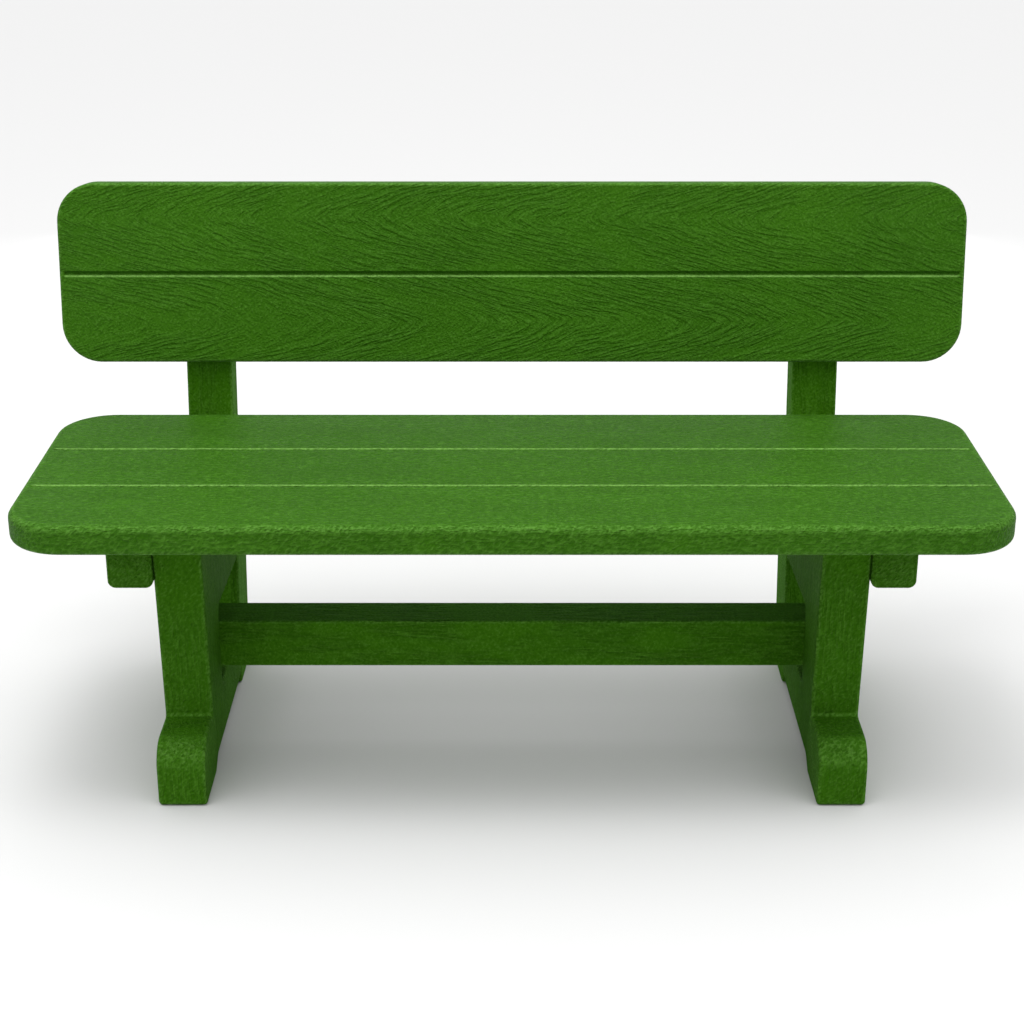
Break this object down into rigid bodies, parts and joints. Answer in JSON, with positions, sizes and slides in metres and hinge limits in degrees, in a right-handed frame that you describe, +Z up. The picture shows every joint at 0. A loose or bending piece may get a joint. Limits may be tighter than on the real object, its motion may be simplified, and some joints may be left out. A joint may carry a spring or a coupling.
{
  "type": "park bench",
  "caption": "Low park bench with a leaning back: moulded plastic seat and back slabs on trestle legs with toes, back posts, seat rails and a stretcher.",
  "frame": {"origin": "on the ground, midway along the bench and midway from the seat's front edge to the rearmost point of the post tops", "axes": "+X along the seat, to the right as seen from the front, +Y from the front to the back, +Z up"},
  "size_m": [1.219, 0.5378, 0.71],
  "materials": {
    "green_plastic": "satin, through-coloured recycled plastic with moulded wood grain",
    "zinc_steel": "zinc-plated"
  },
  "bodies": {
    "root": {"seat_slab": "green_plastic", "back_slab": "green_plastic", "left_leg": "green_plastic", "right_leg": "green_plastic", "left_back_post": "green_plastic", "right_back_post": "green_plastic", "left_seat_rail": "green_plastic", "right_seat_rail": "green_plastic", "stretcher": "green_plastic", "left_seat_screws": "zinc_steel", "right_seat_screws": "zinc_steel", "left_seat_washers": "zinc_steel", "right_seat_washers": "zinc_steel", "left_back_screws": "zinc_steel", "right_back_screws": "zinc_steel", "left_back_washers": "zinc_steel", "right_back_washers": "zinc_steel", "left_rail_lags": "zinc_steel", "right_rail_lags": "zinc_steel", "left_rail_washers": "zinc_steel", "right_rail_washers": "zinc_steel", "left_post_lags": "zinc_steel", "right_post_lags": "zinc_steel", "left_post_washers": "zinc_steel", "right_post_washers": "zinc_steel", "stretcher_lags": "zinc_steel", "stretcher_washers": "zinc_steel"}
  },
  "joints": []
}
